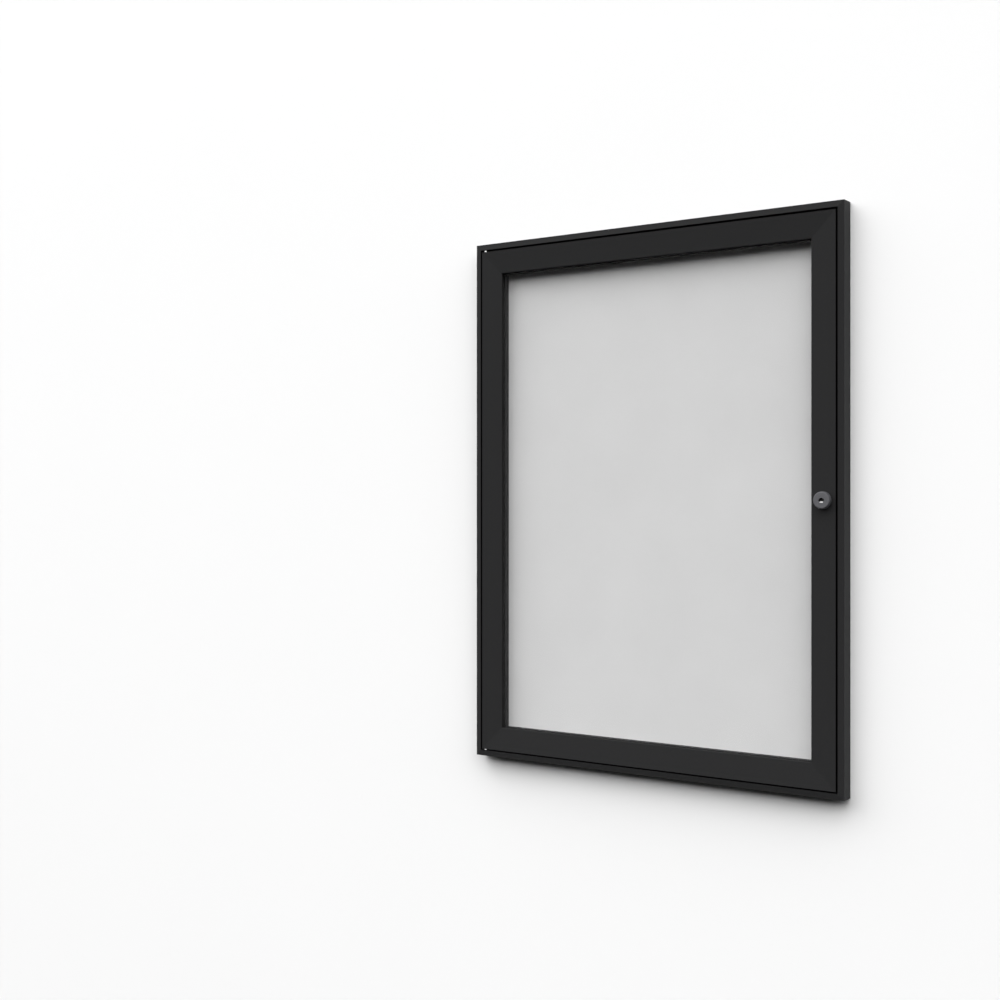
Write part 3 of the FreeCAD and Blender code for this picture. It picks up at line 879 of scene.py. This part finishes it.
def looked_at(tree):
    """One for rays from the camera, also by way of metal or glass, and nought for those that carry light."""
    path = add_node(tree, "ShaderNodeLightPath").outputs
    first = reckon(tree, "MAXIMUM", path["Is Camera Ray"], path["Is Glossy Ray"])
    return reckon(tree, "MAXIMUM", first, path["Is Transmission Ray"])


def wall_material():
    """White paint from the front, and clear from behind."""
    material = empty_material("white_wall")
    tree = material.node_tree
    colour = blend_colours(tree, noise_field(tree, STAGE_WAVES), grey(0.738), grey(0.742))
    paint = add_node(tree, "ShaderNodeBsdfDiffuse", {"Color": colour})
    clear = add_node(tree, "ShaderNodeBsdfTransparent")
    behind = add_node(tree, "ShaderNodeNewGeometry").outputs["Backfacing"]
    add_node(tree, "ShaderNodeOutputMaterial", {"Surface": mix_shaders(tree, behind, paint, clear)})
    return material


def floor_material():
    """Pale where it is looked at, and nearly black for light."""
    material = empty_material("pale_floor")
    tree = material.node_tree
    colour = blend_colours(tree, noise_field(tree, STAGE_WAVES), grey(0.50), grey(0.52))
    paint = add_node(tree, "ShaderNodeBsdfDiffuse", {"Color": colour})
    dark = add_node(tree, "ShaderNodeBsdfDiffuse", {"Color": (*grey(0.001), 1)})
    add_node(tree, "ShaderNodeOutputMaterial", {"Surface": mix_shaders(tree, looked_at(tree), dark, paint)})
    return material


# %% Set up the stage
WALL_Y = 0.0003
FLOOR_Z = -1.3
REACH = 6.0
OPENING_X = 0.2535
OPENING_Z = 0.3385


def flat_sheet(name, corners, faces, material):
    """A piece of the stage, which isn't part of the board."""
    mesh = bpy.data.meshes.new(name)
    mesh.from_pydata(corners, [], faces)
    mesh.materials.append(material)
    sheet = bpy.data.objects.new(name, mesh)
    bpy.context.scene.collection.objects.link(sheet)
    return sheet


outer = [(-REACH, FLOOR_Z), (REACH, FLOOR_Z), (REACH, REACH), (-REACH, REACH)]
inner = [(-OPENING_X, -OPENING_Z), (OPENING_X, -OPENING_Z), (OPENING_X, OPENING_Z), (-OPENING_X, OPENING_Z)]
wall_corners = [(x, WALL_Y, z) for x, z in outer + inner]
round_the_opening = [(side, (side + 1) % 4, (side + 1) % 4 + 4, side + 4) for side in range(4)]
wall = flat_sheet("wall", wall_corners, round_the_opening, wall_material())
square = [(-REACH, -REACH), (REACH, -REACH), (REACH, REACH), (-REACH, REACH)]
flat_sheet("floor", [(x, y, FLOOR_Z) for x, y in square], [(0, 1, 2, 3)], floor_material())
print("stage: wall at", WALL_Y, "floor at", FLOOR_Z)

# %% [markdown]
# ## Light from above
#
# The shadow below the casing is deep at the edge and fades over some six centimetres, and there is no
# shadow at the sides to speak of: the light is one wide soft source overhead and in front, and nothing
# comes from below. A few lamps would each leave an edge in that shadow, and a studio dome leaves none. Its
# brightness depends on how high a direction stands when it is looked at from the side. Behind the wall it
# is an even, plain light.


# %% Sky
# The sine of the height above the horizon, and the brightness there.
SKY_STOPS = (
    (0.0, 0.0), (0.22, 0.02), (0.33, 0.07), (0.39, 0.26), (0.44, 0.48), (0.52, 0.64), (0.616, 0.63),
    (0.69, 0.63), (0.745, 0.75), (0.79, 0.82), (0.86, 0.90), (0.92, 1.0), (1.0, 0.96),
)
SKY_STRENGTH = 4.6
SKY_SIDE = 0.1
SKY_BACK = 1.0
SEEN_STRENGTH = 1.0
WHITE = (1, 1, 1, 1)


def sky_strength(tree):
    """Brightness of the light that comes from each direction."""
    towards = add_node(tree, "ShaderNodeTexCoord").outputs["Generated"]
    x, y, z = add_node(tree, "ShaderNodeSeparateXYZ", {0: towards}).outputs
    squares = [reckon(tree, "MULTIPLY", part, part) for part in (y, z)]
    level = reckon(tree, "SQRT", reckon(tree, "ADD", *squares))
    ramp = add_node(tree, "ShaderNodeValToRGB", {"Fac": reckon(tree, "DIVIDE", z, level)})
    elements = ramp.color_ramp.elements
    # New stops start halfway, and then each goes to its own place.
    while len(elements) < len(SKY_STOPS):
        elements.new(position=0.5)
    for element, (sine, brightness) in zip(elements, SKY_STOPS):
        element.position = sine
        element.color = (*grey(brightness), 1)
    front = reckon(tree, "LESS_THAN", y, 0.0)
    side = reckon(tree, "SUBTRACT", 1.0, reckon(tree, "MULTIPLY", x, SKY_SIDE))
    dome = product(tree, ramp.outputs["Color"], side, front)
    back = reckon(tree, "MULTIPLY", reckon(tree, "SUBTRACT", 1.0, front), SKY_BACK)
    return reckon(tree, "ADD", reckon(tree, "MULTIPLY", dome, SKY_STRENGTH), back)


def sky():
    """The dome as light, and plain white where it is looked at."""
    world = bpy.data.worlds.new("studio")
    bpy.context.scene.world = world
    world.use_nodes = True
    tree = world.node_tree
    tree.nodes.clear()
    lamp = add_node(tree, "ShaderNodeBackground", {"Color": WHITE, "Strength": sky_strength(tree)})
    plain = add_node(tree, "ShaderNodeBackground", {"Color": WHITE, "Strength": SEEN_STRENGTH})
    add_node(tree, "ShaderNodeOutputWorld", {"Surface": mix_shaders(tree, looked_at(tree), lamp, plain)})


sky()
print("sky with", len(SKY_STOPS), "stops, strength", SKY_STRENGTH)

# %% [markdown]
# ## A fill for the wall
#
# The wall below the casing is lighter than the dome alone leaves it: in the picture, low light from the
# front reaches it. A dome that is brighter near the horizon would do it, but would light the board's faces
# too, and their tone is right. Two long flat lamps far in front are linked to the wall instead, so the
# board itself doesn't get their light, but still throws its shadow in it.


# %% Wall lamps
LAMP_DISTANCE = 8.0
LAMP_WIDTH = 30.0
wall_only = bpy.data.collections.new("wall_only")
wall_only.objects.link(wall)


def wall_lamp(name, low_angle, high_angle, power):
    """Upright lamp in front of the wall that fills the view between two angles above the horizon."""
    bottom = LAMP_DISTANCE * math.tan(math.radians(low_angle))
    top = LAMP_DISTANCE * math.tan(math.radians(high_angle))
    data = bpy.data.lights.new(name, "AREA")
    data.shape = "RECTANGLE"
    data.size = LAMP_WIDTH
    data.size_y = top - bottom
    data.energy = power
    lamp = bpy.data.objects.new(name, data)
    lamp.location = (0, -LAMP_DISTANCE, (bottom + top) / 2)
    lamp.rotation_euler = (QUARTER_TURN, 0, 0)
    bpy.context.scene.collection.objects.link(lamp)
    lamp.light_linking.receiver_collection = wall_only
    print(name, power, "W,", LAMP_DISTANCE, "m in front")


wall_lamp("wall_lamp_low", low_angle=16.5, high_angle=27, power=190)
wall_lamp("wall_lamp_high", low_angle=27, high_angle=70, power=1430)
